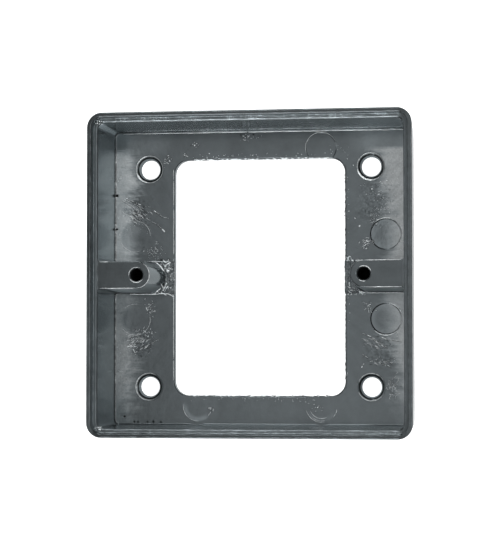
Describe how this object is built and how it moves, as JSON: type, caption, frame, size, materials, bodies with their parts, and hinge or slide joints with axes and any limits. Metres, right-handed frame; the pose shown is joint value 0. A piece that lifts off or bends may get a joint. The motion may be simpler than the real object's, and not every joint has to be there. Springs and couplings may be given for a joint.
{
  "type": "metal back box",
  "caption": "Square die-cast metal back box for surface wiring, with a stepped open rim, webbed screw bosses inside, fixing holes and a cable opening in the back.",
  "frame": {"origin": "centre of the back face, which lies on Z = 0", "axes": "+Z out of the open front, +X from one screw boss to the other, +Y along the long side of the cable opening"},
  "size_m": [0.086, 0.086, 0.025],
  "materials": {
    "cast_metal": null
  },
  "bodies": {
    "root": {"back_box": "cast_metal"}
  },
  "joints": []
}
